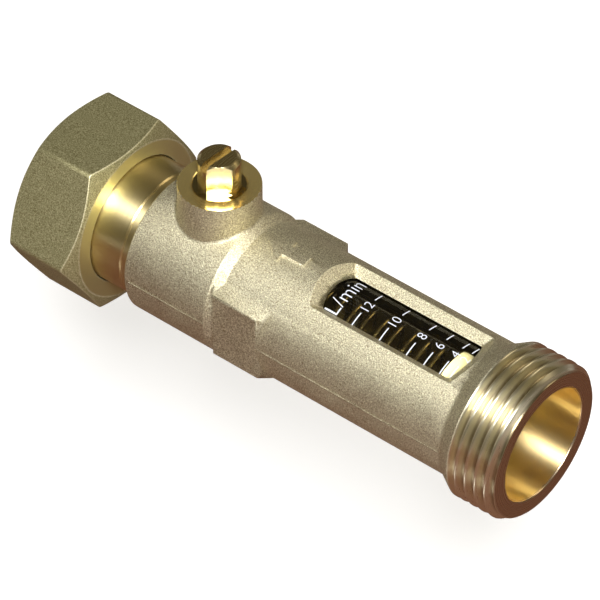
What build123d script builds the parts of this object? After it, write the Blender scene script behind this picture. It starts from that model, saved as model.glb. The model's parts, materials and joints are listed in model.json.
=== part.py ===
from build123d import *

import os
from math import radians, sqrt, tan

os.makedirs("parts", exist_ok=True)

# Inline flow meter with a regulating ball valve, for a G 1 pipe line.
#
# The meter lies along X. The origin is the centre of the union's sealing face, +X points
# through the meter and out of its male thread, and +Z points up along the valve's spindle.
# Water enters at the male thread and leaves at the union nut.
#
# Every station below is a distance along the tube from the spindle's axis, positive towards
# the male thread. export_piece moves each finished piece so that the sealing face is at X = 0.
# All lengths are in millimetres and all angles in degrees.

# Clearances
running_clearance = 0.05
seat_clearance = 0.05
face_clearance = 0.1
nut_clearance = 0.3
ring_clearance = 0.03

# How far a cutting shape reaches past the surface that it cuts
cut_overrun = 2.0

# How far off a place may be when an edge or a corner is picked by where it lies
match_tolerance = 0.01

# Pipe thread, which every radius of the union end is worked out from
pipe_thread_radius = 16.62
pipe_thread_depth = 1.48
pipe_thread_chamfer = 1.25
tail_flange_room = 0.19
tail_flange_step = 1.25
tail_spigot_step = 1.4
valve_section_wall = 3.0
ball_chamber_step = 1.2

tail_flange_radius = pipe_thread_radius - pipe_thread_depth - tail_flange_room
neck_radius = tail_flange_radius - tail_flange_step
union_socket_radius = neck_radius - tail_spigot_step
valve_section_radius = union_socket_radius + valve_section_wall
ball_chamber_radius = union_socket_radius - ball_chamber_step

# Stations of the cast body
body_start = -12.4
valve_section_end = 8.2
section_step_length = 2.2
meter_section_length = 54.8
thread_ramp_length = 3.8
pipe_thread_length = 10.7

meter_section_start = valve_section_end + section_step_length
thread_ramp_start = meter_section_start + meter_section_length
thread_start = thread_ramp_start + thread_ramp_length
inlet_face = thread_start + pipe_thread_length

# Outside of the cast body
meter_section_radius = 14.27
section_blend_radius = 0.6
body_end_chamfer = 0.5
inlet_mouth_chamfer = 0.35
parting_line_height = 0.1
parting_line_width = 0.3
parting_line_setback = 1.6

# Spindle boss
boss_height = 6.45
boss_wall = 2.66
boss_fillet = 1.0
boss_rim_chamfer = 0.15
boss_mouth_radius = 5.7
boss_mouth_depth = 1.1

boss_radius = boss_mouth_radius + boss_wall
boss_top = valve_section_radius + boss_height

# Spanner pads
pad_rise = 0.08
pad_half_height = 7.7
pad_length = 10.9
pad_lead = 0.6
pad_face_slope = 20
pad_end_slope = 31
pad_edge_fillet = 0.6

pad_start = meter_section_start - pad_lead
pad_end = pad_start + pad_length

# Cast flow arrow
arrow_setback = 2.4
arrow_head_length = 4.7
arrow_shaft_length = 5.2
arrow_head_half_width = 3.3
arrow_shaft_half_width = 1.4
arrow_height = 0.45
arrow_edge_fillet = 0.15

arrow_tip = meter_section_start + arrow_setback
arrow_barb = arrow_tip + arrow_head_length
arrow_tail = arrow_barb + arrow_shaft_length

# Window pocket, measured where its walls meet the outside of the meter section
pocket_start_margin = 4.2
pocket_end_margin = 0.6
pocket_half_width = 7.25
pocket_side_draft = 52
pocket_end_draft = 45
pocket_corner_radius = 0.9
pocket_rim_fillet = 0.3
pocket_depth = 4.4
window_turn = 3

pocket_start = arrow_tail + pocket_start_margin
pocket_end = thread_ramp_start - pocket_end_margin

# Ball valve
ball_room = 1.35
ball_rim = 3.35
ball_bore_step = 0.2
ball_slot_width = 3.1
ball_slot_depth = 2.45
seat_inset = 1.75
seat_length = 3.8
seat_lead = 1.3
valve_turn = 85

ball_radius = ball_chamber_radius - ball_room
flow_passage_radius = ball_radius - ball_rim
ball_bore_radius = flow_passage_radius - ball_bore_step
ball_slot_floor = ball_radius - ball_slot_depth
seat_back = ball_radius - seat_inset
seat_front = seat_back - seat_length
seat_outer_radius = ball_radius - seat_clearance
ball_chamber_half_length = seat_front + seat_lead

# Spindle
stem_radius = 4.3
collar_height = 1.8
collar_gap = 0.25
collar_recess_radius = 5.6
collar_room = 0.3
washer_thickness = 0.5
washer_room = 0.2
tongue_setback = 0.3
stem_across_flats = 7.0
stem_top_chamfer = 0.8
stem_flats_turn = 45
spindle_reach = 6.95
slot_width = 1.6
slot_depth = 1.7
clip_groove_depth = 0.65
clip_thickness = 0.8
clip_room = 0.4
clip_mouth_width = 4.4

collar_radius = collar_recess_radius - collar_room
tongue_width = ball_slot_width - 2 * running_clearance
tongue_half_length = stem_radius - tongue_setback
spindle_top = boss_top + spindle_reach
clip_groove_radius = stem_radius - clip_groove_depth
clip_outer_radius = boss_mouth_radius - clip_room

# O-rings: the cord's thickness and the room beside it in its groove
stem_ring_cord = 1.1
stem_ring_places = (0.22, 0.63)
tail_ring_cord = 1.4
tube_ring_cord = 1.5
groove_side_room = 0.25

# Tailpiece, which shows between the body and the nut
neck_length = 9.6
neck_line_setback = 2.1
neck_line_width = 0.35
neck_line_depth = 0.25
tail_bore_step = 1.1
tail_flange_thickness = 2.9
tail_ring_setback = 2.3

tail_bore_radius = flow_passage_radius + tail_bore_step
tail_spigot_end = -ball_chamber_half_length - face_clearance
tail_ring_station = tail_spigot_end - tail_ring_setback

# Union nut and its gasket
nut_length = 17.3
nut_side_wall = 1.58
nut_corner_radius = 1.2
nut_chamfer_length = 2.0
nut_face_setback = 0.8
nut_wall = 3.0
nut_mouth_chamfer = 0.6
nut_relief_depth = 0.3
nut_relief_room = 0.3
nut_turn = 2
gasket_thickness = 2.0
gasket_edge_room = 0.05
gasket_bore_step = 3.0

nut_end = body_start - neck_length
nut_start = nut_end - nut_length
nut_across_flats = 2 * (pipe_thread_radius + nut_side_wall)
nut_end_face_radius = nut_across_flats / 2 - nut_face_setback
gasket_radius = tail_flange_radius - gasket_edge_room
gasket_bore_radius = tail_bore_radius + gasket_bore_step

# Sight tube, its carrier and its retaining ring
meter_section_wall = 2.37
tube_room = 0.3
tube_wall = 3.0
tube_lead = 0.6
tube_trail = 0.9
tube_ring_inset = 1.6
spring_chamber_length = 8.3
carrier_thickness = 1.4
carrier_rim_width = 2.2
carrier_hub_radius = 2.7
spoke_width = 1.6
retaining_ring_thickness = 1.0
retaining_ring_depth = 0.75
retaining_ring_width = 1.7
retaining_ring_mouth = 40

tube_bore_radius = meter_section_radius - meter_section_wall
tube_bore_start = pocket_start - tube_lead
tube_end = pocket_end + tube_trail
tube_outer_radius = tube_bore_radius - tube_room
tube_inner_radius = tube_outer_radius - tube_wall
spring_chamber_start = tube_bore_start - spring_chamber_length

# Float and its spring
float_length = 6.6
float_setback = 0.9
float_room = 0.3
float_skirt_wall = 2.3
float_disc_thickness = 1.6
float_disc_lip = 1.6
spring_wire = 0.8
spring_room = 0.6
spring_pitch = 3.33
spring_rest_thickness = 2.0
spring_rest_rim_width = 2.2

float_end = tube_end - float_setback
float_start = float_end - float_length
float_radius = tube_inner_radius - float_room
float_skirt_radius = float_radius - float_skirt_wall
float_orifice_radius = float_skirt_radius - float_disc_lip
spring_mean_radius = tube_inner_radius - spring_room - spring_wire / 2

# Metering rod
rod_shaft_radius = 1.5
rod_base_room = 0.2
rod_taper_tip_radius = 2.2
rod_taper_length = 29.55
rod_thread_length = 3.4
rod_nut_across_flats = 5.5
rod_nut_thickness = 2.4

rod_base_radius = float_orifice_radius - rod_base_room


# Shared shapes


def turned(outline):
    """A solid turned about the tube's axis, from points of (station, radius)."""
    return revolve(make_face(Polyline(*outline, close=True)), Axis.X)


def turned_upright(outline):
    """A solid turned about the spindle's axis, from points of (radius, height)."""
    points = [(radius, 0, height) for radius, height in outline]
    return revolve(make_face(Polyline(*points, close=True)), Axis.Z)


def bar(start, end, radius):
    """A round bar on the tube's axis."""
    return turned([(start, 0), (end, 0), (end, radius), (start, radius)])


def ring(start, end, inner, outer):
    """A plain ring round the tube's axis."""
    return turned([(start, inner), (end, inner), (end, outer), (start, outer)])


def upright_bar(low, high, radius):
    """A round bar on the spindle's axis."""
    return turned_upright([(0, low), (radius, low), (radius, high), (0, high)])


def upright_ring(low, high, inner, outer):
    """A plain ring round the spindle's axis."""
    return turned_upright([(inner, low), (outer, low), (outer, high), (inner, high)])


def hexagon_bar(start, end, across_flats, corner_radius=0):
    """A hexagonal bar on the tube's axis, with flats above and below."""
    outline = RegularPolygon(across_flats / 2, 6, major_radius=False)
    if corner_radius:
        outline = fillet(outline.vertices(), corner_radius)
    return extrude(Plane.YZ.offset(start) * outline, end - start)


def tube_o_ring(station, inner, cord):
    """An O-ring round the tube's axis, centred on a station."""
    return Plane.YZ.offset(station) * Torus(inner + cord / 2, cord / 2 - ring_clearance)


def stem_o_ring(height):
    """An O-ring in a groove of the spindle, centred on a height."""
    centre_radius = stem_radius - stem_ring_cord / 2
    return Pos(0, 0, height) * Torus(centre_radius, stem_ring_cord / 2 - ring_clearance)


def spider(start, end, outer, rim_width, hub_radius, hole_radius):
    """A rim and a drilled hub joined by three spokes, as water-way supports have."""
    rim = ring(start, end, outer - rim_width, outer)
    hub = bar(start, end, hub_radius)
    spoke_length = outer - rim_width / 2
    outline = Pos(0, spoke_length / 2) * Rectangle(spoke_width, spoke_length)
    spoke = extrude(Plane.YZ.offset(start) * outline, end - start)
    spokes = [spoke.rotate(Axis.X, turn) for turn in (0, 120, 240)]
    return (rim + hub + spokes) - bar(start, end, hole_radius)


# Cast body


def is_near(station, stations):
    """Whether a station is one of the given ones, within a hair's breadth."""
    return any(abs(station - other) < match_tolerance for other in stations)


def body_outside():
    """The turned outside of the casting, from the union end to the male thread."""
    outline = make_face(Polyline(
        (body_start, 0),
        (body_start, valve_section_radius - body_end_chamfer),
        (body_start + body_end_chamfer, valve_section_radius),
        (valve_section_end, valve_section_radius),
        (meter_section_start, meter_section_radius),
        (thread_ramp_start, meter_section_radius),
        (thread_start, pipe_thread_radius),
        (inlet_face - pipe_thread_chamfer, pipe_thread_radius),
        (inlet_face, pipe_thread_radius - pipe_thread_chamfer),
        (inlet_face, 0),
        close=True,
    ))
    step_ends = (valve_section_end, meter_section_start)
    corners = [corner for corner in outline.vertices() if is_near(corner.X, step_ends)]
    return revolve(fillet(corners, section_blend_radius), Axis.X)


def with_boss(casting):
    """The casting with its spindle boss, blended in at the foot."""
    boss = upright_bar(0, boss_top, boss_radius)
    boss = chamfer(boss.edges().sort_by(Axis.Z)[-1], boss_rim_chamfer)
    joined = casting + boss
    foot = [edge for edge in joined.edges() if is_on_boss(edge) and is_below_rim(edge)]
    return fillet(foot, boss_fillet)


def is_below_rim(edge):
    """Whether an edge lies between the tube's axis and the boss's rim."""
    box = edge.bounding_box()
    return box.min.Z > 0 and box.max.Z < boss_top - boss_fillet


def is_on_boss(edge):
    """Whether an edge stays on the side of the boss, judged at four places along it."""
    for position in (0.1, 0.35, 0.6, 0.85):
        point = edge @ position
        if abs(sqrt(point.X**2 + point.Y**2) - boss_radius) > match_tolerance:
            return False
    return True


def spanner_pads():
    """The two flats for a spanner, with their sloping faces and ends."""
    flat = meter_section_radius + pad_rise
    crown = pad_half_height + flat * tan(radians(pad_face_slope))
    reach = flat * tan(radians(pad_end_slope))
    section = Polyline(
        (flat, pad_half_height),
        (0, crown),
        (-flat, pad_half_height),
        (-flat, -pad_half_height),
        (0, -crown),
        (flat, -pad_half_height),
        close=True,
    )
    plan = Polyline(
        (pad_start, flat),
        (pad_end, flat),
        (pad_end + reach, 0),
        (pad_end, -flat),
        (pad_start, -flat),
        (pad_start - reach, 0),
        close=True,
    )
    length = pad_end - pad_start + 2 * reach
    bar_along = extrude(Plane.YZ.offset(pad_start - reach) * make_face(section), length)
    bar_upright = extrude(make_face(plan), crown, both=True)
    block = bar_along & bar_upright
    rims = [edge for edge in block.edges() if is_near(abs(edge.center().Y), (flat,))]
    return fillet(rims, pad_edge_fillet)


def flow_arrow():
    """The raised arrow that points downstream, with its top following the tube."""
    outline = Polyline(
        (arrow_tip, 0),
        (arrow_barb, arrow_head_half_width),
        (arrow_barb, arrow_shaft_half_width),
        (arrow_tail, arrow_shaft_half_width),
        (arrow_tail, -arrow_shaft_half_width),
        (arrow_barb, -arrow_shaft_half_width),
        (arrow_barb, -arrow_head_half_width),
        close=True,
    )
    top_radius = meter_section_radius + arrow_height
    prism = extrude(make_face(outline), top_radius + cut_overrun)
    arrow = prism & bar(arrow_tip - cut_overrun, arrow_tail + cut_overrun, top_radius)
    rim = arrow.faces().sort_by(Axis.Z)[-1].edges()
    return fillet(rim, arrow_edge_fillet)


def parting_lines():
    """The fine ridges that the two halves of the mould leave along the sides, clear of the pads."""
    stretches = (
        (body_start + parting_line_setback, pad_start - parting_line_setback, valve_section_radius),
        (pad_end + parting_line_setback, thread_ramp_start, meter_section_radius),
    )
    ridges = []
    for start, end, radius in stretches:
        ridge = Box(end - start, 2 * (radius + parting_line_height), parting_line_width)
        ridges.append(Pos((start + end) / 2, 0, 0) * ridge)
    return ridges


def window_pocket():
    """The drafted opening through which the sight tube is read."""
    edge_height = sqrt(meter_section_radius**2 - pocket_half_width**2)
    low = meter_section_radius - pocket_depth
    high = meter_section_radius + cut_overrun

    def level(height):
        half_width = pocket_half_width + (height - edge_height) * tan(radians(pocket_side_draft))
        spread = (height - meter_section_radius) * tan(radians(pocket_end_draft))
        length = pocket_end - pocket_start + 2 * spread
        middle = (pocket_start + pocket_end) / 2
        return Pos(middle, 0, height) * Rectangle(length, 2 * half_width)

    block = loft([level(low), level(high)])
    corners = [edge for edge in block.edges() if abs(edge.tangent_at(0.5).Z) > 0.3]
    return fillet(corners, pocket_corner_radius)


def flow_cavity():
    """Everything that is bored out along the tube's axis."""
    groove_start = retaining_ring_start() - face_clearance / 2
    groove_end = groove_start + retaining_ring_thickness + face_clearance
    return turned([
        (body_start, 0),
        (body_start, union_socket_radius),
        (-ball_chamber_half_length, union_socket_radius),
        (-ball_chamber_half_length, ball_chamber_radius),
        (ball_chamber_half_length, ball_chamber_radius),
        (ball_chamber_half_length, seat_outer_radius + face_clearance),
        (seat_back, seat_outer_radius + face_clearance),
        (seat_back, flow_passage_radius),
        (spring_chamber_start, flow_passage_radius),
        (spring_chamber_start, tube_inner_radius),
        (tube_bore_start, tube_inner_radius),
        (tube_bore_start, tube_bore_radius),
        (groove_start, tube_bore_radius),
        (groove_start, tube_bore_radius + retaining_ring_depth),
        (groove_end, tube_bore_radius + retaining_ring_depth),
        (groove_end, tube_bore_radius),
        (inlet_face - inlet_mouth_chamfer, tube_bore_radius),
        (inlet_face, tube_bore_radius + inlet_mouth_chamfer),
        (inlet_face, 0),
    ])


def spindle_cavity():
    """The stepped hole that carries the spindle through the boss."""
    ceiling = recess_ceiling()
    stem_hole_radius = stem_radius + running_clearance
    mouth_floor = boss_top - boss_mouth_depth
    return turned_upright([
        (0, 0),
        (collar_recess_radius, 0),
        (collar_recess_radius, ceiling),
        (stem_hole_radius, ceiling),
        (stem_hole_radius, mouth_floor),
        (boss_mouth_radius, mouth_floor),
        (boss_mouth_radius, boss_top),
        (0, boss_top),
    ])


def is_on_pocket_rim(edge):
    """Whether an edge runs where the window pocket meets the outside of the meter section."""
    for position in (0.2, 0.5, 0.8):
        point = edge @ position
        if point.Z < 0 or abs(point.Y) > pocket_half_width + match_tolerance:
            return False
        if not pocket_start - match_tolerance < point.X < pocket_end + match_tolerance:
            return False
        if abs(sqrt(point.Y**2 + point.Z**2) - meter_section_radius) > match_tolerance:
            return False
    return True


def valve_body():
    """The one-piece casting that holds the valve and the meter.

    The window and the arrow face a little to the side of the boss, so the casting is turned to
    put them on top while they are made, and is then turned back.
    """
    casting = with_boss(body_outside()) + spanner_pads() + parting_lines()
    casting = casting.rotate(Axis.X, -window_turn) + flow_arrow() - window_pocket()
    casting = fillet([edge for edge in casting.edges() if is_on_pocket_rim(edge)], pocket_rim_fillet)
    return casting.rotate(Axis.X, window_turn) - flow_cavity() - spindle_cavity()


# Union end


def tailpiece():
    """The polished neck that screws into the body and carries the union nut."""
    flange_start = tail_flange_start()
    flange_end = flange_start + tail_flange_thickness
    spigot_radius = union_socket_radius - running_clearance
    groove_floor = union_socket_radius - tail_ring_cord
    groove_start = tail_ring_station - tail_ring_cord / 2 - groove_side_room
    groove_end = tail_ring_station + tail_ring_cord / 2 + groove_side_room
    neck_line = body_start - neck_line_setback
    return turned([
        (flange_start, tail_bore_radius),
        (flange_start, tail_flange_radius),
        (flange_end, tail_flange_radius),
        (flange_end, neck_radius),
        (neck_line - neck_line_width, neck_radius),
        (neck_line, neck_radius - neck_line_depth),
        (neck_line + neck_line_width, neck_radius),
        (body_start, neck_radius),
        (body_start, spigot_radius),
        (groove_start, spigot_radius),
        (groove_start, groove_floor),
        (groove_end, groove_floor),
        (groove_end, spigot_radius),
        (tail_spigot_end, spigot_radius),
        (tail_spigot_end, seat_outer_radius + face_clearance),
        (-seat_back, seat_outer_radius + face_clearance),
        (-seat_back, tail_bore_radius),
    ])


def tail_flange_start():
    """Station of the tailpiece's flange face, which the gasket lies on."""
    return nut_end - nut_wall - face_clearance - tail_flange_thickness


def sealing_face():
    """Station of the gasket's free face, where the next pipe's end is pressed."""
    return tail_flange_start() - gasket_thickness


def union_nut():
    """The hexagonal nut that turns freely on the neck."""
    corner_radius = nut_across_flats / sqrt(3)
    relief_start = sealing_face() - nut_relief_room
    relief_radius = pipe_thread_radius + nut_relief_depth
    blank = hexagon_bar(nut_start, nut_end, nut_across_flats, nut_corner_radius)
    envelope = turned([
        (nut_start, 0),
        (nut_start, nut_end_face_radius),
        (nut_start + nut_chamfer_length, corner_radius),
        (nut_end - nut_chamfer_length, corner_radius),
        (nut_end, nut_end_face_radius),
        (nut_end, 0),
    ])
    hole = turned([
        (nut_start, 0),
        (nut_start, pipe_thread_radius + nut_mouth_chamfer),
        (nut_start + nut_mouth_chamfer, pipe_thread_radius),
        (relief_start, pipe_thread_radius),
        (relief_start, relief_radius),
        (nut_end - nut_wall, relief_radius),
        (nut_end - nut_wall, neck_radius + nut_clearance),
        (nut_end, neck_radius + nut_clearance),
        (nut_end, 0),
    ])
    return ((blank & envelope) - hole).rotate(Axis.X, nut_turn)


def union_gasket():
    """The flat ring that the pipe's face is pressed against."""
    return ring(sealing_face(), tail_flange_start(), gasket_bore_radius, gasket_radius)


# Ball valve


def ball():
    """The drilled ball, in the part-open position, with the slot that the spindle turns."""
    sphere = Sphere(ball_radius)
    bore = bar(-ball_radius, ball_radius, ball_bore_radius)
    slot_height = ball_radius - ball_slot_floor
    slot = Box(ball_slot_width, 2 * ball_radius, slot_height)
    slot = Pos(0, 0, ball_slot_floor + slot_height / 2) * slot
    return (sphere - bore - slot).rotate(Axis.Z, valve_turn)


def ball_seat(side):
    """A seat ring, on the union's side (-1) or the meter's side (1) of the ball."""
    back = seat_back - seat_clearance
    contact = ball_radius + seat_clearance
    lip_radius = sqrt(contact**2 - seat_front**2)
    throat = sqrt(contact**2 - flow_passage_radius**2)
    edges = Polyline(
        (throat, flow_passage_radius),
        (back, flow_passage_radius),
        (back, seat_outer_radius),
        (seat_front, seat_outer_radius),
        (seat_front, lip_radius),
    )
    hollow = RadiusArc((seat_front, lip_radius), (throat, flow_passage_radius), contact)
    seat = revolve(make_face(edges + hollow), Axis.X)
    return seat if side > 0 else seat.rotate(Axis.Z, 180)


def recess_ceiling():
    """Height of the face inside the boss that the thrust washer bears on."""
    return ball_radius + collar_gap + collar_height + washer_thickness + 2 * running_clearance


def clip_height():
    """Height of the underside of the spindle's clip."""
    return boss_top - boss_mouth_depth + running_clearance


def stem_ring_heights():
    """Heights of the spindle's two O-rings, at set shares of the hole that they seal."""
    low = recess_ceiling()
    return [low + share * (clip_height() - low) for share in stem_ring_places]


def stem_outline():
    """The turned outline of the spindle, from its collar to its chamfered top."""
    groove_floor = stem_radius - stem_ring_cord
    half_groove = stem_ring_cord / 2 + groove_side_room
    collar_floor = ball_radius + collar_gap
    collar_top = collar_floor + collar_height
    outline = [(0, collar_floor), (collar_radius, collar_floor)]
    outline += [(collar_radius, collar_top), (stem_radius, collar_top)]
    for height in stem_ring_heights():
        outline += [(stem_radius, height - half_groove), (groove_floor, height - half_groove)]
        outline += [(groove_floor, height + half_groove), (stem_radius, height + half_groove)]
    clip_floor = clip_height() - running_clearance / 2
    clip_ceiling = clip_floor + clip_thickness + running_clearance
    outline += [(stem_radius, clip_floor), (clip_groove_radius, clip_floor)]
    outline += [(clip_groove_radius, clip_ceiling), (stem_radius, clip_ceiling)]
    outline += [(stem_radius, spindle_top - stem_top_chamfer)]
    outline += [(stem_radius - stem_top_chamfer, spindle_top), (0, spindle_top)]
    return outline


def spindle():
    """The stem with its tongue, collar, ring grooves, two flats and screwdriver slot."""
    stem = turned_upright(stem_outline())
    flats_start = clip_height() + clip_thickness + running_clearance
    flats_length = spindle_top - flats_start
    sleeve = Box(3 * stem_radius, 3 * stem_radius, flats_length)
    between_flats = Box(stem_across_flats, 3 * stem_radius, flats_length)
    cut = (sleeve - between_flats).rotate(Axis.Z, stem_flats_turn)
    stem -= Pos(0, 0, flats_start + flats_length / 2) * cut
    slot = Box(3 * stem_radius, slot_width, slot_depth)
    stem -= Pos(0, 0, spindle_top - slot_depth / 2) * slot
    tongue_floor = ball_slot_floor + running_clearance
    tongue_height = ball_radius + collar_gap - tongue_floor
    tongue = Box(tongue_width, 2 * tongue_half_length, tongue_height)
    stem += Pos(0, 0, tongue_floor + tongue_height / 2) * tongue
    return stem.rotate(Axis.Z, valve_turn)


def thrust_washer():
    """The low-friction washer between the spindle's collar and the body."""
    ceiling = recess_ceiling()
    hole_radius = stem_radius + running_clearance
    washer_radius = collar_recess_radius - washer_room
    return upright_ring(ceiling - washer_thickness, ceiling, hole_radius, washer_radius)


def spindle_clip():
    """The open clip that keeps the spindle from dropping into the body."""
    low = clip_height()
    hole_radius = clip_groove_radius + running_clearance
    plate = upright_ring(low, low + clip_thickness, hole_radius, clip_outer_radius)
    mouth = Box(clip_outer_radius, clip_mouth_width, 3 * clip_thickness)
    return plate - Pos(clip_outer_radius / 2, 0, low) * mouth


# Meter


def tube_start():
    """Station of the sight tube's downstream end."""
    return tube_bore_start + face_clearance


def tube_ring_stations():
    """Stations of the two O-rings on the sight tube."""
    return tube_start() + tube_ring_inset, tube_end - tube_ring_inset


def sight_tube():
    """The clear tube that holds the float, with a groove for an O-ring near each end."""
    tube = ring(tube_start(), tube_end, tube_inner_radius, tube_outer_radius)
    half_groove = tube_ring_cord / 2 + groove_side_room / 2
    beyond = tube_outer_radius + cut_overrun
    for station in tube_ring_stations():
        tube -= ring(station - half_groove, station + half_groove, tube_ring_floor(), beyond)
    return tube


def tube_ring_floor():
    """Radius of the floor of the sight tube's grooves."""
    return tube_bore_radius - tube_ring_cord


def carrier_start():
    """Station of the carrier's downstream face, which closes the sight tube."""
    return tube_end + face_clearance


def retaining_ring_start():
    """Station of the retaining ring, just upstream of the carrier."""
    return carrier_start() + carrier_thickness + face_clearance / 2


def rod_carrier():
    """The spider that holds the metering rod in the middle of the tube."""
    start = carrier_start()
    end = start + carrier_thickness
    hole = rod_shaft_radius + running_clearance
    outer = tube_bore_radius - face_clearance
    return spider(start, end, outer, carrier_rim_width, carrier_hub_radius, hole)


def tube_retaining_ring():
    """The open snap ring that holds the carrier and the tube in the body."""
    start = retaining_ring_start()
    outer = tube_bore_radius + retaining_ring_depth - face_clearance / 2
    plate = ring(start, start + retaining_ring_thickness, outer - retaining_ring_width, outer)
    half_mouth = outer * tan(radians(retaining_ring_mouth / 2))
    mouth = Polyline((0, 0), (half_mouth, -outer), (-half_mouth, -outer), close=True)
    return plate - extrude(Plane.YZ.offset(start) * make_face(mouth), retaining_ring_thickness)


def metering_rod():
    """The tapered rod that the float's orifice slides along."""
    base = carrier_start() - running_clearance
    rod_start = spring_chamber_start
    return turned([
        (rod_start, 0),
        (rod_start, rod_shaft_radius),
        (base - rod_taper_length, rod_shaft_radius),
        (base - rod_taper_length, rod_taper_tip_radius),
        (base, rod_base_radius),
        (base, rod_shaft_radius),
        (base + carrier_thickness + rod_thread_length, rod_shaft_radius),
        (base + carrier_thickness + rod_thread_length, 0),
    ])


def rod_nut():
    """The small nut that clamps the metering rod to its carrier."""
    start = carrier_start() + carrier_thickness
    blank = hexagon_bar(start, start + rod_nut_thickness, rod_nut_across_flats)
    return blank - bar(start, start + rod_nut_thickness, rod_shaft_radius + running_clearance)


def spring_rest():
    """The spider that the spring pushes against and the rod's free end sits in."""
    end = spring_chamber_start + spring_rest_thickness
    hole = rod_shaft_radius + running_clearance
    outer = tube_inner_radius - face_clearance
    return spider(spring_chamber_start, end, outer, spring_rest_rim_width, carrier_hub_radius, hole)


def float_body():
    """The float: a skirted cup with a sharp orifice in its upstream disc."""
    disc_start = float_end - float_disc_thickness
    return turned([
        (float_start, float_skirt_radius),
        (float_start, float_radius),
        (float_end, float_radius),
        (float_end, float_orifice_radius),
        (disc_start, float_orifice_radius + float_disc_thickness / 2),
        (disc_start, float_skirt_radius),
    ])


def float_spring():
    """The coil spring between its rest and the float."""
    first = spring_chamber_start + spring_rest_thickness + spring_wire / 2 + running_clearance
    last = float_start - spring_wire / 2 - running_clearance
    coil = Helix(spring_pitch, last - first, spring_mean_radius)
    wire_face = Plane(coil @ 0, z_dir=coil % 0) * Circle(spring_wire / 2)
    spring = sweep(wire_face, coil, is_frenet=True)
    return Plane.YZ.offset(first) * spring


# Export


def export_piece(piece, node):
    """Writes one piece, moved so that the union's sealing face is at X = 0."""
    moved = Pos(-sealing_face(), 0, 0) * piece
    solids = moved.solids()
    shape = solids[0] if len(solids) == 1 else Compound(children=solids)
    export_step(shape, f"parts/{node}.step")


def all_pieces():
    """Every piece of the meter, by the name of its node."""
    tail_ring_floor = union_socket_radius - tail_ring_cord
    lower_ring, upper_ring = stem_ring_heights()
    outlet_ring, inlet_ring = tube_ring_stations()
    return {
        "valve_body": valve_body(),
        "tailpiece": tailpiece(),
        "tailpiece_o_ring": tube_o_ring(tail_ring_station, tail_ring_floor, tail_ring_cord),
        "union_nut": union_nut(),
        "union_gasket": union_gasket(),
        "ball": ball(),
        "outlet_ball_seat": ball_seat(-1),
        "inlet_ball_seat": ball_seat(1),
        "spindle": spindle(),
        "lower_spindle_o_ring": stem_o_ring(lower_ring),
        "upper_spindle_o_ring": stem_o_ring(upper_ring),
        "thrust_washer": thrust_washer(),
        "spindle_clip": spindle_clip(),
        "sight_tube": sight_tube(),
        "outlet_tube_o_ring": tube_o_ring(outlet_ring, tube_ring_floor(), tube_ring_cord),
        "inlet_tube_o_ring": tube_o_ring(inlet_ring, tube_ring_floor(), tube_ring_cord),
        "metering_rod": metering_rod(),
        "rod_carrier": rod_carrier(),
        "rod_nut": rod_nut(),
        "tube_retaining_ring": tube_retaining_ring(),
        "spring_rest": spring_rest(),
        "float": float_body(),
        "float_spring": float_spring(),
    }


for node, piece in all_pieces().items():
    export_piece(piece, node)
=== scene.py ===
import json
from math import cos, floor, hypot, pi, radians, sin

import bmesh
import bpy
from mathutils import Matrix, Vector


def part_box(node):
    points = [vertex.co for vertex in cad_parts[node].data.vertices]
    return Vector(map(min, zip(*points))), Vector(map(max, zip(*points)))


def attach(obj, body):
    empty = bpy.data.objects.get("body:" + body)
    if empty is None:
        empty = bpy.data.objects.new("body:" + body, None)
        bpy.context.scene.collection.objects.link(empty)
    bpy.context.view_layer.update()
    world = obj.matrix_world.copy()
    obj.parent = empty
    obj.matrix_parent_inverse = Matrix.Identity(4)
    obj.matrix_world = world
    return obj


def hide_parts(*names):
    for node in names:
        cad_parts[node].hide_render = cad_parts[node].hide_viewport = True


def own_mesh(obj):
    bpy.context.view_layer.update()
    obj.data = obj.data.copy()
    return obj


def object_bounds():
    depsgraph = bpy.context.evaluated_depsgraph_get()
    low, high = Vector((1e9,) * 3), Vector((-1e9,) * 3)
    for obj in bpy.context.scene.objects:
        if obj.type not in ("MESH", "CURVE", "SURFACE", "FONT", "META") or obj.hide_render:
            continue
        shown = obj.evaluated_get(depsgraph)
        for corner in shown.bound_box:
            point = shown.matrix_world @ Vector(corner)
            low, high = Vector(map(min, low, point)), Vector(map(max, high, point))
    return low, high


# The looks of an inline flow meter with a union nut, a ball valve and a sight tube.
#
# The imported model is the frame: every object is in its place in the row frame, in metres.
# +X runs along the tube out of the male thread and +Z up along the valve's spindle.
# A station is a place along X. Lengths are in metres, and 2.0 * MM is two millimetres.

MM = 0.001

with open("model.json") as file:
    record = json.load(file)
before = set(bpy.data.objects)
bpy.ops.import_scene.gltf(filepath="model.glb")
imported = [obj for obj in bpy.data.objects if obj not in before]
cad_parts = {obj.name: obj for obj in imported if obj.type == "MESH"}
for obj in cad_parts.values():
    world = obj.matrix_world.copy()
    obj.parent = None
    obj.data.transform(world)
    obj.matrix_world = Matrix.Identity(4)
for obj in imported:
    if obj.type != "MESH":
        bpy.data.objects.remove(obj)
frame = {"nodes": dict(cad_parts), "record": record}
cad_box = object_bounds()
nodes = frame["nodes"]
record = frame["record"]
mounts = {mount["name"]: mount for mount in record["mounts"]}

# How far apart two places may be and still count as the same one
weld_distance = 0.001 * MM
match_distance = 0.01 * MM
face_distance = 0.05 * MM

# Edges that turn by more than this stay sharp on the pieces made here
sharp_edge_degrees = 35

# Whitworth pipe thread, as shares of its pitch
thread_pitch = 2.309 * MM
thread_depth_share = 0.640327
rounding_run_share = 0.1218
rounding_drop_share = 0.0739
rounding_radius_share = 0.137329
flank_slope = 1.921
flank_middle_share = 0.25

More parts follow.
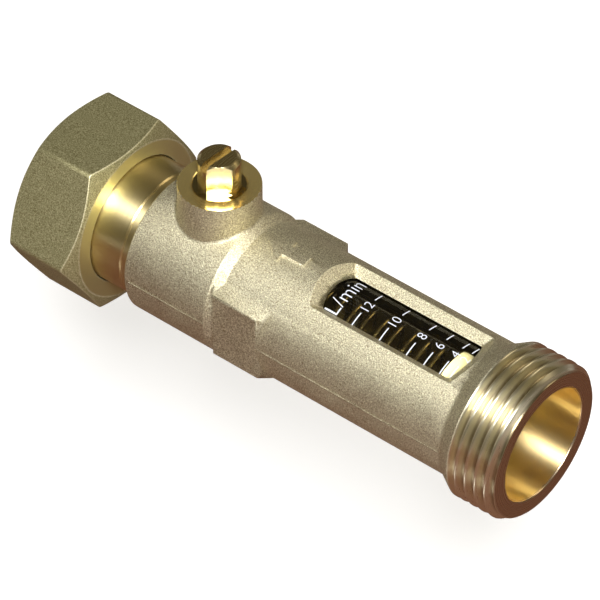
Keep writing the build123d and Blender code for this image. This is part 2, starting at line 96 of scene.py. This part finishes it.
# Male thread
thread_rows_per_pitch = 26
thread_columns = 192
thread_run_out = 1.3 * MM
bridge_gap = 0.3 * MM
column_angles = [2 * pi * column / thread_columns for column in range(thread_columns)]

# Female thread in the union nut. Its ridge is drawn over these shares of its width
ridge_shares = (-0.5, -0.36, -0.25, -0.14, -0.08, 0, 0.08, 0.14, 0.25, 0.36, 0.5)
ridge_half_width = 0.46 * thread_pitch
ridge_root_sink = 0.1 * MM
ridge_columns_per_turn = 96
ridge_fade_turns = 0.25
ridge_least_height = 0.05

# Machined faces of the casting: the bore by its room round the sight tube, where it is painted
# dark as shade, and the boss by its distance from the spindle's axis and its height
tube_bore_margin = 0.35 * MM
boss_reach = 9 * MM
boss_mouth_reach = 5.75 * MM
boss_mouth_low = 11.9 * MM

# Rounding of the nut's edges, and how squarely an end face looks along the tube
nut_edge_width = 0.5 * MM
nut_edge_segments = 3
nut_edge_degrees = 25
nut_end_facing = 0.99

# Scale on the sight tube: readings with their stations in millimetres
readings = (("12", 67.5), ("10", 74.2), ("8", 80.7), ("6", 84.9), ("4", 88.7), ("2", 91.0))
reading_height = 2.0 * MM
unit_sign = "L/min"
unit_station = 62.1 * MM
unit_height = 3.1 * MM
letter_offset = -0.012
mark_width = 0.24 * MM
mark_columns = 8
print_edge_cuts = 2
print_lift = 0.03 * MM

# Where the print lies round the tube, in degrees from the top towards +Y
near_mark_degrees = (-28.8, -13.6)
far_mark_degrees = (7.4, 19.1)
reading_middle_degrees = -3.5
unit_middle_degrees = -4.1

# Camera
camera_azimuth = 39.12
camera_elevation = 43.18
camera_distance = 0.8336
camera_target = Vector((0.051, 0, 0))
camera_lens = 255.9
camera_sensor = 36
camera_shift = (-0.0057, 0.0185)
camera_clip = (0.01, 20)

# Lamps, floor, table flag and surroundings
lamp_aim = Vector((0.05, 0, 0))
floor_drop = 0.11
floor_half_width = 3.0
floor_glow = 0.55
flag_drop = 0.07
flag_outline = ((-0.8, 0.8), (-0.8, 0.8))
flag_gap = ((0.085, 0.135), (-0.135, -0.078))
flag_colour = (0.12, 0.05, 0.03)
world_colour = (1, 0.85, 0.55)
world_strength = 0.09

# Spans of shader values: the one that most of a noise lies in, and the whole one
noise_span = (0.3, 0.7)
whole_span = (0, 1)

# How much a finish varies
turned_roughness_swing = 0.05
polished_roughness_shares = (0.8, 1.25)
mottle_dark_share = 0.93
# Painted shade: over this height above the thread's roots, in millimetres, the thread's colour
# darkens to its root tone
thread_root_shade_mm = 0.5


# Materials


class Finish:
    """A material under construction: a Principled shader with helpers that add nodes to it."""

    def __init__(self, name, colour, metallic=0.0, roughness=0.5):
        self.material = bpy.data.materials.new(name)
        self.material.use_nodes = True
        self.tree = self.material.node_tree
        self.shader = self.tree.nodes["Principled BSDF"]
        self.shader.inputs["Base Color"].default_value = (*colour, 1)
        self.shader.inputs["Metallic"].default_value = metallic
        self.shader.inputs["Roughness"].default_value = roughness
        self.material.diffuse_color = (*colour, 1)

    def node(self, kind, **values):
        """Adds a node. Values go to the inputs of that name, or to its settings."""
        made = self.tree.nodes.new(kind)
        for name, value in values.items():
            label = name.replace("_", " ")
            if label in made.inputs:
                made.inputs[label].default_value = value
            else:
                setattr(made, name, value)
        return made

    def link(self, output, target):
        """Links an output of a node to an input of another."""
        self.tree.links.new(output, target)

    def feed(self, output, name):
        """Links an output of a node to an input of the shader."""
        self.link(output, self.shader.inputs[name])

    def place(self):
        """The place on the piece, in millimetres."""
        coordinates = self.node("ShaderNodeTexCoord")
        scaled = self.node("ShaderNodeVectorMath", operation="SCALE")
        scaled.inputs["Scale"].default_value = 1 / MM
        self.link(coordinates.outputs["Object"], scaled.inputs[0])
        return scaled.outputs[0]

    def tube_place(self):
        """The place as (station, distance from the tube's axis, 0), in millimetres."""
        parts = self.node("ShaderNodeSeparateXYZ")
        self.link(self.place(), parts.inputs[0])
        flat = self.node("ShaderNodeCombineXYZ")
        self.link(parts.outputs["Y"], flat.inputs["Y"])
        self.link(parts.outputs["Z"], flat.inputs["Z"])
        length = self.node("ShaderNodeVectorMath", operation="LENGTH")
        self.link(flat.outputs[0], length.inputs[0])
        joined = self.node("ShaderNodeCombineXYZ")
        self.link(parts.outputs["X"], joined.inputs["X"])
        self.link(length.outputs["Value"], joined.inputs["Y"])
        return joined.outputs[0]

    def noise(self, place, scale, detail=2.0, roughness=0.5):
        """A noise from 0 to 1. A larger scale makes smaller blotches."""
        made = self.node("ShaderNodeTexNoise", Scale=scale, Detail=detail, Roughness=roughness)
        self.link(place, made.inputs["Vector"])
        return made.outputs["Fac"]

    def spread(self, value, source, target):
        """Maps a value from one span to another."""
        made = self.node("ShaderNodeMapRange")
        made.inputs["From Min"].default_value = source[0]
        made.inputs["From Max"].default_value = source[1]
        made.inputs["To Min"].default_value = target[0]
        made.inputs["To Max"].default_value = target[1]
        self.link(value, made.inputs["Value"])
        return made.outputs["Result"]

    def blend_colours(self, share, first, second):
        """A colour between two others. Sockets 6, 7 and 2 are the node's colour sockets."""
        made = self.node("ShaderNodeMix", data_type="RGBA")
        made.inputs[6].default_value = (*first, 1)
        made.inputs[7].default_value = (*second, 1)
        self.link(share, made.inputs["Factor"])
        return made.outputs[2]

    def emboss(self, height, depth_mm):
        """Gives the surface a relief of a depth."""
        made = self.node("ShaderNodeBump", Strength=1.0, Distance=depth_mm * MM)
        self.link(height, made.inputs["Height"])
        self.feed(made.outputs["Normal"], "Normal")

    def brush_round(self, amount):
        """Stretches the reflections as brushing round the tube does.

        The direction is a little off the tube's axis, so that it isn't square to the end faces.
        """
        self.shader.inputs["Anisotropic"].default_value = amount
        along = self.node("ShaderNodeCombineXYZ", X=1.0, Y=0.02, Z=0.01)
        self.feed(along.outputs[0], "Tangent")

    def either(self, first, second):
        """The larger of two values, which is 1 where either is."""
        made = self.node("ShaderNodeMath", operation="MAXIMUM")
        self.link(first, made.inputs[0])
        self.link(second, made.inputs[1])
        return made.outputs[0]


def cast_finish():
    """Grainy skin of a brass casting, with a sparkle."""
    finish = Finish("cast_brass", (0.5, 0.43, 0.27), metallic=0.95, roughness=0.5)
    place = finish.place()
    grain = finish.noise(place, scale=5.2, detail=3, roughness=0.6)
    patch = finish.noise(place, scale=0.16)
    share = finish.spread(grain, (0.4, 0.62), whole_span)
    finish.feed(finish.blend_colours(share, (0.38, 0.31, 0.18), (1, 0.96, 0.72)), "Base Color")
    finish.feed(finish.spread(patch, noise_span, (0.45, 0.53)), "Roughness")
    finish.emboss(grain, 0.12)
    return finish.material


def forged_finish(name, dark, light):
    """Fine matt skin of the nut, between a dark and a light tone."""
    finish = Finish(name, dark, metallic=0.85, roughness=0.5)
    grain = finish.noise(finish.place(), scale=4.0, detail=3, roughness=0.65)
    share = finish.spread(grain, (0.36, 0.68), whole_span)
    finish.feed(finish.blend_colours(share, dark, light), "Base Color")
    finish.emboss(grain, 0.08)
    return finish.material


def turned_finish(name, colour, roughness, ring_depth_mm, brushed=0.0):
    """Bright metal with the fine rings that a lathe leaves round the tube's axis."""
    finish = Finish(name, colour, metallic=1.0, roughness=roughness)
    rings = finish.noise(finish.tube_place(), scale=9.0, detail=3, roughness=0.7)
    span = (roughness - turned_roughness_swing, roughness + turned_roughness_swing)
    finish.feed(finish.spread(rings, noise_span, span), "Roughness")
    finish.emboss(rings, ring_depth_mm)
    if brushed:
        finish.brush_round(brushed)
    return finish.material


def cut_thread_finish():
    """Cut thread whose colour is painted darker towards its roots, as shade in its grooves, and
    lighter at its crests.
    """
    finish = Finish("thread_brass", (0.7, 0.6, 0.4), metallic=1.0, roughness=0.24)
    place = finish.tube_place()
    rings = finish.noise(place, scale=6.0, detail=3, roughness=0.7)
    finish.feed(finish.spread(rings, noise_span, (0.25, 0.38)), "Roughness")
    finish.emboss(rings, 0.01)
    parts = finish.node("ShaderNodeSeparateXYZ")
    finish.link(place, parts.inputs[0])
    root = mounts["inlet_thread"]["dims"]["r_mm"] - thread_depth_share * thread_pitch / MM
    height = finish.spread(parts.outputs["Y"], (root, root + thread_root_shade_mm), whole_span)
    # Painted shade: the colour is darker near the roots, where the grooves lie in shade, and
    # lighter towards the crests
    finish.feed(finish.blend_colours(height, (0.45, 0.38, 0.25), (0.95, 0.89, 0.68)), "Base Color")
    finish.brush_round(0.8)
    return finish.material


def polished_finish(name, colour, roughness, metallic=1.0):
    """Bright metal without a grain. Tarnish takes some of its mirror away."""
    finish = Finish(name, colour, metallic=metallic, roughness=roughness)
    wear = finish.noise(finish.place(), scale=0.8)
    span = tuple(roughness * share for share in polished_roughness_shares)
    finish.feed(finish.spread(wear, noise_span, span), "Roughness")
    return finish.material


def plastic_finish(name, colour, roughness):
    """Plain polymer or rubber with a faint mottle."""
    finish = Finish(name, colour, roughness=roughness)
    mottle = finish.noise(finish.place(), scale=1.5)
    dark = tuple(mottle_dark_share * part for part in colour)
    finish.feed(finish.blend_colours(mottle, dark, colour), "Base Color")
    return finish.material


def clear_finish():
    """Clear tube wall. Lamps shine through it, so that the float inside is lit."""
    finish = Finish("clear_polymer", (0.93, 0.9, 0.8), roughness=0.03)
    finish.shader.inputs["Transmission Weight"].default_value = 1.0
    finish.shader.inputs["IOR"].default_value = 1.49
    finish.shader.inputs["Specular IOR Level"].default_value = 0.1
    path = finish.node("ShaderNodeLightPath")
    pass_through = finish.node("ShaderNodeBsdfTransparent")
    pass_through.inputs["Color"].default_value = (0.85, 0.82, 0.72, 1)
    mix = finish.node("ShaderNodeMixShader")
    output = finish.tree.nodes["Material Output"]
    finish.link(path.outputs["Is Shadow Ray"], mix.inputs[0])
    finish.link(finish.shader.outputs[0], mix.inputs[1])
    finish.link(pass_through.outputs[0], mix.inputs[2])
    finish.link(mix.outputs[0], output.inputs["Surface"])
    return finish.material


def floor_finish():
    """White floor that glows a little, as seen straight, in a mirror and through glass."""
    finish = Finish("floor_white", (0.8, 0.8, 0.8), roughness=0.9)
    finish.shader.inputs["Emission Color"].default_value = (1, 1, 1, 1)
    path = finish.node("ShaderNodeLightPath").outputs
    seen = finish.either(path["Is Camera Ray"], path["Is Glossy Ray"])
    seen_or_sent = finish.either(seen, path["Is Transmission Ray"])
    strength = finish.node("ShaderNodeMath", operation="MULTIPLY")
    strength.inputs[1].default_value = floor_glow
    finish.link(seen_or_sent, strength.inputs[0])
    finish.feed(strength.outputs[0], "Emission Strength")
    return finish.material


# One finish for each material slot of the record
finishes = {
    "cast_brass": cast_finish(),
    "forged_brass": forged_finish("forged_brass", (0.24, 0.21, 0.09), (0.7, 0.66, 0.38)),
    "turned_brass": turned_finish("turned_brass", (0.75, 0.63, 0.34), 0.25, 0.004),
    "plated_ball": polished_finish("plated_ball", (0.8, 0.8, 0.8), 0.1),
    "spring_steel": polished_finish("spring_steel", (0.42, 0.35, 0.17), 0.2),
    "white_polymer": plastic_finish("white_polymer", (0.85, 0.85, 0.82), 0.5),
    "float_polymer": plastic_finish("float_polymer", (0.98, 0.95, 0.6), 0.45),
    "clear_polymer": clear_finish(),
    "black_rubber": plastic_finish("black_rubber", (0.02, 0.02, 0.02), 0.6),
}

# Finishes of single faces and pieces
thread_finish = cut_thread_finish()
end_finish = turned_finish("end_brass", (0.6, 0.47, 0.32), 0.28, 0.01)
bore_finish = turned_finish("bore_brass", (0.93, 0.75, 0.38), 0.35, 0.006, brushed=0.85)
# Lighter colour of the nut's rounded edges, partly wear and partly a painted highlight
nut_edge_finish = forged_finish("worn_brass", (0.45, 0.41, 0.22), (0.85, 0.8, 0.54))
nut_end_finish = turned_finish("nut_end", (0.72, 0.68, 0.36), 0.5, 0.02)
neck_finish = turned_finish("neck_brass", (0.82, 0.69, 0.38), 0.36, 0.004, brushed=0.9)
# Painted shade: the casting's bore behind the sight tube is nearly black, as shade inside it
painted_bore_shade_finish = turned_finish("dark_bore", (0.1, 0.08, 0.035), 0.4, 0.004)
boss_finish = polished_finish("boss_brass", (0.95, 0.76, 0.32), 0.2, metallic=0.92)
print_finish = plastic_finish("scale_print", (0.78, 0.82, 0.92), 0.6)

# The casting's finishes, and the number of each on its mesh
casting_finishes = [finishes["cast_brass"], thread_finish, end_finish, bore_finish,
                    painted_bore_shade_finish, boss_finish]
CAST, THREAD, END, BORE, PAINTED_BORE_SHADE, BOSS = range(len(casting_finishes))

# The same for the nut
nut_finishes = [finishes["forged_brass"], nut_edge_finish, nut_end_finish]
NUT_SIDE, NUT_EDGE, NUT_END = range(len(nut_finishes))


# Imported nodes


def paint_nodes():
    """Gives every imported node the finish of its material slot."""
    for subpart in record["subparts"]:
        data = nodes[subpart["node"]].data
        data.materials.clear()
        data.materials.append(finishes[subpart["material_slot"]])
    nodes["tailpiece"].data.materials[0] = neck_finish


def soften_nut():
    """Rounds the nut's edges a little, as a forging's are, colours them lighter as wear and
    painted highlight, and gives its ends a turned finish.
    """
    nut = nodes["union_nut"]
    joining = nut.modifiers.new("joined_faces", "WELD")
    joining.merge_threshold = weld_distance
    rounding = nut.modifiers.new("edge_rounding", "BEVEL")
    rounding.width = nut_edge_width
    rounding.segments = nut_edge_segments
    rounding.limit_method = "ANGLE"
    rounding.angle_limit = radians(nut_edge_degrees)
    rounding.harden_normals = True
    # The rounded edges get the lighter edge colour: wear and a painted highlight
    rounding.material = NUT_EDGE
    nut.data.materials.clear()
    for material in nut_finishes:
        nut.data.materials.append(material)
    for face in nut.data.polygons:
        is_end = abs(face.normal.x) > nut_end_facing
        face.material_index = NUT_END if is_end else NUT_SIDE


# Meshes


def radius_of(point):
    """Distance of a point from the tube's axis."""
    return hypot(point.y, point.z)


def smooth_step(share):
    """A share from 0 to 1 that starts and ends gently."""
    share = max(0.0, min(1.0, share))
    return share * share * (3 - 2 * share)


def add_object(name, data):
    """An object in the scene, made of a mesh, a curve, a lamp or a camera."""
    made = bpy.data.objects.new(name, data)
    bpy.context.collection.objects.link(made)
    return made


def mesh_data(mesh, name):
    """The mesh that was built, with its faces looking out."""
    bmesh.ops.recalc_face_normals(mesh, faces=mesh.faces)
    data = bpy.data.meshes.new(name)
    mesh.to_mesh(data)
    mesh.free()
    return data


def add_piece(name, data, body, materials):
    """Adds a piece in place, with its materials, and lets it ride on a body."""
    piece = add_object(name, data)
    for material in materials:
        data.materials.append(material)
    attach(piece, body)
    return piece


def finish_mesh(piece):
    """Shades a piece smoothly, but for its sharp edges, with its broad faces kept flat."""
    piece.data.shade_smooth()
    piece.data.set_sharp_from_angle(angle=radians(sharp_edge_degrees))
    weighted = piece.modifiers.new("broad_faces_flat", "WEIGHTED_NORMAL")
    weighted.keep_sharp = True


# Thread profile


def rounded_drop(offset):
    """Drop below the crest at an offset from its middle, in pitches, up to half the flank."""
    if offset > rounding_run_share:
        return (rounding_drop_share + (offset - rounding_run_share) * flank_slope) * thread_pitch
    rise = (rounding_radius_share**2 - offset**2) ** 0.5
    return (rounding_radius_share - rise) * thread_pitch


def profile_drop(offset):
    """Drop below the crest at an offset from its middle, in pitches, all the way to the root."""
    if offset < flank_middle_share:
        return rounded_drop(offset)
    return thread_depth_share * thread_pitch - rounded_drop(0.5 - offset)


def thread_drop(station, angle):
    """How far a Whitworth thread's surface lies below its crest."""
    turn = station / thread_pitch - angle / (2 * pi)
    return profile_drop(abs(turn - floor(turn + 0.5)))


# Casting with its male thread


class InletEnd:
    """Stations and radii of the casting's inlet end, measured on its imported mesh."""

    def __init__(self, source):
        self.crest = mounts["inlet_thread"]["dims"]["r_mm"] * MM
        self.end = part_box("valve_body")[1][0]
        tube_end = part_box("sight_tube")[1][0]
        inlet = [(v.co.x, radius_of(v.co)) for v in source.vertices if v.co.x > tube_end]
        on_crest = [x for x, radius in inlet if radius > self.crest - match_distance]
        self.thread_start = min(on_crest)
        self.chamfer_start = max(on_crest)
        self.mouth_radius = min(radius for x, radius in inlet if x > self.end - match_distance)
        self.bore_radius = min(radius for x, radius in inlet if x > self.thread_start)
        on_bore = [x for x, radius in inlet if abs(radius - self.bore_radius) < match_distance]
        self.bore_start = max(x for x in on_bore if x < self.thread_start)
        self.mouth_start = max(on_bore)

    def thread_radii(self, station):
        """Radii round the cut thread, which fades in at its start and has a chamfered end."""
        cut = smooth_step((station - self.thread_start) / thread_run_out)
        highest = self.crest - max(0.0, station - self.chamfer_start)
        return [min(self.crest - cut * thread_drop(station, angle), highest)
                for angle in column_angles]


def ring_of(mesh, station, radii):
    """A ring of vertices round the tube's axis, with a radius for each column."""
    return [mesh.verts.new((station, radius * sin(angle), radius * cos(angle)))
            for radius, angle in zip(radii, column_angles)]


def round_ring(mesh, station, radius):
    """A ring of vertices that all lie at the same radius."""
    return ring_of(mesh, station, [radius] * thread_columns)


def join_rings(mesh, first, second, material):
    """Faces between two rings of vertices."""
    for column in range(thread_columns):
        after = (column + 1) % thread_columns
        face = mesh.faces.new((first[column], first[after], second[after], second[column]))
        face.material_index = material


def bridge(mesh, loop, ring, material):
    """Faces between a loop of open edges and a ring of vertices."""
    members = set(ring)
    edges = [edge for edge in mesh.edges if edge.is_boundary and members.issuperset(edge.verts)]
    made = bmesh.ops.bridge_loops(mesh, edges=loop + edges)
    for face in made["faces"]:
        face.material_index = material


def open_loops(mesh):
    """The open edges of a mesh, split into those on the outside and those in the bore."""
    open_edges = [edge for edge in mesh.edges if edge.is_boundary]
    middle = sum(radius_of(edge.verts[0].co) for edge in open_edges) / len(open_edges)
    outer = [edge for edge in open_edges if radius_of(edge.verts[0].co) > middle]
    inner = [edge for edge in open_edges if radius_of(edge.verts[0].co) <= middle]
    return outer, inner


def casting_without_inlet(source, inlet):
    """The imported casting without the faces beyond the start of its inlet's bore."""
    mesh = bmesh.new()
    mesh.from_mesh(source)
    bmesh.ops.remove_doubles(mesh, verts=mesh.verts, dist=weld_distance)
    cut_away = []
    for face in mesh.faces:
        stations = [v.co.x for v in face.verts]
        starts_beyond = min(stations) > inlet.bore_start - match_distance
        if starts_beyond and max(stations) > inlet.bore_start + match_distance:
            cut_away.append(face)
    bmesh.ops.delete(mesh, geom=cut_away, context="FACES")
    return mesh


def classify_casting(mesh):
    """Gives the machined faces of the casting their own finish; the bore round the sight tube gets
    a painted shade.
    """
    spindle_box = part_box("spindle")
    axis_station = (spindle_box[0][0] + spindle_box[1][0]) / 2
    outlet_face = min(v.co.x for v in mesh.verts)
    tube_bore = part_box("sight_tube")[1][1] + tube_bore_margin
    boss_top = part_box("valve_body")[1][2]
    for face in mesh.faces:
        centre = face.calc_center_median()
        from_spindle = hypot(centre.x - axis_station, centre.y)
        face.material_index = CAST
        # Painted shade on the bore behind the sight tube
        if radius_of(centre) < tube_bore:
            face.material_index = PAINTED_BORE_SHADE
        if centre.x < outlet_face + face_distance:
            face.material_index = END
        if centre.z > boss_top - face_distance and from_spindle < boss_reach:
            face.material_index = BOSS
        if from_spindle < boss_mouth_reach and centre.z > boss_mouth_low:
            face.material_index = BOSS


def inlet_rings(mesh, inlet):
    """The male thread, the end face, the mouth and the bore, ring by ring.

    Returns the first ring and the last.
    """
    start = inlet.thread_start + bridge_gap
    length = inlet.end - inlet.thread_start - bridge_gap
    rows = int(length / thread_pitch * thread_rows_per_pitch)
    first = round_ring(mesh, start, inlet.crest)
    previous = first
    for row in range(1, rows + 1):
        station = start + length * row / rows
        current = ring_of(mesh, station, inlet.thread_radii(station))
        join_rings(mesh, previous, current, THREAD)
        previous = current
    for station, radius, material in (
        (inlet.end, inlet.mouth_radius, END),
        (inlet.mouth_start, inlet.bore_radius, END),
        (inlet.bore_start + bridge_gap, inlet.bore_radius, BORE),
    ):
        current = round_ring(mesh, station, radius)
        join_rings(mesh, previous, current, material)
        previous = current
    return first, previous


def threaded_body():
    """The casting with a cut thread in place of the plain cylinder at its inlet end."""
    source = nodes["valve_body"].data
    inlet = InletEnd(source)
    mesh = casting_without_inlet(source, inlet)
    classify_casting(mesh)
    outer_loop, inner_loop = open_loops(mesh)
    first, last = inlet_rings(mesh, inlet)
    bridge(mesh, outer_loop, first, CAST)
    bridge(mesh, inner_loop, last, BORE)
    data = mesh_data(mesh, "threaded_body")
    piece = add_piece("threaded_body", data, "meter", casting_finishes)
    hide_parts("valve_body")
    finish_mesh(piece)


# Female thread of the union nut


def ridge_section(crest, root):
    """The ridge's outline at its full height, as points of (offset along the tube, radius).

    The outermost points lie on the root, which is sunk into the nut's wall.
    """
    tip = crest - thread_depth_share * thread_pitch
    section = []
    for share in ridge_shares:
        radius = root if abs(share) == 0.5 else tip + profile_drop(abs(share))
        section.append((share * 2 * ridge_half_width, radius))
    return section


def nut_thread():
    """The ridge of the union nut's female thread, a closed helical strip with faded ends."""
    crest = mounts["union_thread"]["dims"]["r_mm"] * MM
    root = crest + ridge_root_sink
    section = ridge_section(crest, root)
    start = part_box("union_nut")[0][0] + ridge_half_width
    end = -ridge_half_width
    turns = (end - start) / thread_pitch
    columns = int(turns * ridge_columns_per_turn)
    mesh = bmesh.new()
    previous = None
    for column in range(columns + 1):
        turn = turns * column / columns
        angle = 2 * pi * turn
        station = start + thread_pitch * turn
        fade = smooth_step(min(turn, turns - turn) / ridge_fade_turns)
        current = []
        for offset, radius in section:
            faded = root + (radius - root) * max(ridge_least_height, fade)
            place = (station + offset, faded * sin(angle), faded * cos(angle))
            current.append(mesh.verts.new(place))
        if previous is None:
            mesh.faces.new(current)
        else:
            for i in range(len(section)):
                j = (i + 1) % len(section)
                mesh.faces.new((previous[i], current[i], current[j], previous[j]))
        previous = current
    mesh.faces.new(reversed(previous))
    data = mesh_data(mesh, "nut_thread")
    piece = add_piece("nut_thread", data, "nut", [thread_finish])
    finish_mesh(piece)


# Spring


def soft_spring():
    """The coil spring, a copy of its imported mesh with the spring's finish.
    """
    data = nodes["float_spring"].data.copy()
    data.name = "coil_spring"
    data.materials.clear()
    piece = add_piece("coil_spring", data, "meter", [finishes["spring_steel"]])
    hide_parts("float_spring")
    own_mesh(piece)


# Scale print


def on_tube(u, v, middle_degrees, station, radius):
    """Where a flat print's point lands: u runs round the tube and v towards the outlet."""
    angle = radians(middle_degrees) + u / radius
    return Vector((station - v, radius * sin(angle), radius * cos(angle)))


def text_mesh(words, height):
    """A flat mesh of some characters of a height, with its middle at the origin."""
    curve = bpy.data.curves.new("words", "FONT")
    curve.body = words
    curve.offset = letter_offset
    holder = add_object("words", curve)
    bpy.context.view_layer.update()
    graph = bpy.context.evaluated_depsgraph_get()
    data = bpy.data.meshes.new_from_object(holder.evaluated_get(graph))
    bpy.data.objects.remove(holder)
    bpy.data.curves.remove(curve)
    across = [vertex.co.x for vertex in data.vertices]
    up = [vertex.co.y for vertex in data.vertices]
    middle_x = (min(across) + max(across)) / 2
    middle_y = (min(up) + max(up)) / 2
    scale = height / (max(up) - min(up))
    for vertex in data.vertices:
        vertex.co.x = (vertex.co.x - middle_x) * scale
        vertex.co.y = (vertex.co.y - middle_y) * scale
    return data


def mark_mesh(length):
    """A flat mark of a length round the tube, with its middle at the origin."""
    data = bpy.data.meshes.new("mark")
    vertices = []
    for column in range(mark_columns + 1):
        u = length * (column / mark_columns - 0.5)
        vertices += [(u, -mark_width / 2, 0), (u, mark_width / 2, 0)]
    faces = [(2 * i, 2 * i + 2, 2 * i + 3, 2 * i + 1) for i in range(mark_columns)]
    data.from_pydata(vertices, [], faces)
    return data


def print_piece(name, flat, middle_degrees, station, radius):
    """Wraps a flat print round the sight tube and lets it ride there.

    The print is cut finer first, so that it bends with the tube.
    """
    mesh = bmesh.new()
    mesh.from_mesh(flat)
    bmesh.ops.triangulate(mesh, faces=mesh.faces)
    bmesh.ops.subdivide_edges(mesh, edges=mesh.edges, cuts=print_edge_cuts, use_grid_fill=True)
    for vertex in mesh.verts:
        vertex.co = on_tube(vertex.co.x, vertex.co.y, middle_degrees, station, radius)
    data = bpy.data.meshes.new(name)
    mesh.to_mesh(data)
    mesh.free()
    bpy.data.meshes.remove(flat)
    add_piece(name, data, "meter", [print_finish])


def scale_print():
    """The readings, their marks on both sides and the unit, on the outside of the sight tube."""
    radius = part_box("sight_tube")[1][1] + print_lift
    for reading, station_mm in readings:
        station = station_mm * MM
        print_piece("reading_" + reading, text_mesh(reading, reading_height),
                    reading_middle_degrees, station, radius)
        for side, (start, end) in (("near", near_mark_degrees), ("far", far_mark_degrees)):
            flat = mark_mesh(radians(end - start) * radius)
            print_piece(f"mark_{side}_{reading}", flat, (start + end) / 2, station, radius)
    print_piece("unit_sign", text_mesh(unit_sign, unit_height), unit_middle_degrees,
                unit_station, radius)


# Camera, lamps and backdrop


def aim_at(made, place, direction):
    """Puts a lamp or a camera at a place and turns it to look in a direction."""
    made.location = place
    made.rotation_mode = "QUATERNION"
    made.rotation_quaternion = direction.to_track_quat("-Z", "Y")


def add_camera():
    """The photograph's view."""
    azimuth = radians(camera_azimuth)
    elevation = radians(camera_elevation)
    back = Vector((
        sin(azimuth) * cos(elevation),
        -cos(azimuth) * cos(elevation),
        sin(elevation),
    ))
    data = bpy.data.cameras.new("camera")
    data.lens = camera_lens
    data.sensor_width = camera_sensor
    data.shift_x, data.shift_y = camera_shift
    data.clip_start, data.clip_end = camera_clip
    camera = add_object("camera", data)
    aim_at(camera, camera_target + back * camera_distance, -back)
    bpy.context.scene.camera = camera


def add_softbox(name, place, side, power, colour=(1, 1, 1)):
    """A square lamp at a place, turned to the object, that the camera doesn't see."""
    data = bpy.data.lights.new(name, "AREA")
    data.shape = "RECTANGLE"
    data.size = side
    data.size_y = side
    data.energy = power
    data.color = colour
    lamp = add_object(name, data)
    aim_at(lamp, place, lamp_aim - Vector(place))
    lamp.visible_camera = False


def add_world():
    """Dim, warm surroundings."""
    world = bpy.data.worlds.new("surroundings")
    bpy.context.scene.world = world
    world.use_nodes = True
    background = world.node_tree.nodes["Background"]
    background.inputs["Color"].default_value = (*world_colour, 1)
    background.inputs["Strength"].default_value = world_strength


def level_corners(spans, height):
    """The corners of a level rectangle, given as its spans along X and Y."""
    (x_low, x_high), (y_low, y_high) = spans
    return [(x_low, y_low, height), (x_high, y_low, height),
            (x_high, y_high, height), (x_low, y_high, height)]


def add_floor():
    """A large pale floor that looks white and keeps the object's shadow."""
    span = (-floor_half_width, floor_half_width)
    corners = level_corners((span, span), cad_box[0][2] - floor_drop)
    data = bpy.data.meshes.new("floor")
    data.from_pydata(corners, [], [(0, 1, 2, 3)])
    floor_object = add_object("floor", data)
    data.materials.append(floor_finish())


def add_table_flag():
    """A brown board under the object that only metal and glass see, as a studio's flags are.

    It stands in for a wooden table. Through its gap the spindle's flat sees the white floor.
    Each of its four faces lies between a side of the outline and a side of the gap.
    """
    height = cad_box[0][2] - flag_drop
    corners = level_corners(flag_outline, height) + level_corners(flag_gap, height)
    sides = [(i, (i + 1) % 4, 4 + (i + 1) % 4, 4 + i) for i in range(4)]
    data = bpy.data.meshes.new("table_flag")
    data.from_pydata(corners, [], sides)
    board = add_object("table_flag", data)
    data.materials.append(Finish("table_brown", flag_colour, roughness=0.8).material)
    board.visible_camera = False
    board.visible_diffuse = False
    board.visible_shadow = False


paint_nodes()
soften_nut()
threaded_body()
nut_thread()
soft_spring()
scale_print()

add_camera()
add_world()
add_floor()
add_softbox("key", place=(0.41, -0.42, 0.71), side=0.25, power=10)
add_softbox("flash", place=(0.46, -0.5, 0.62), side=0.1, power=3.5)
add_softbox("rear", place=(0.4, 0.6, 0.6), side=0.35, power=0.9, colour=(1, 0.85, 0.6))
add_table_flag()

bpy.context.scene.view_settings.view_transform = "Standard"
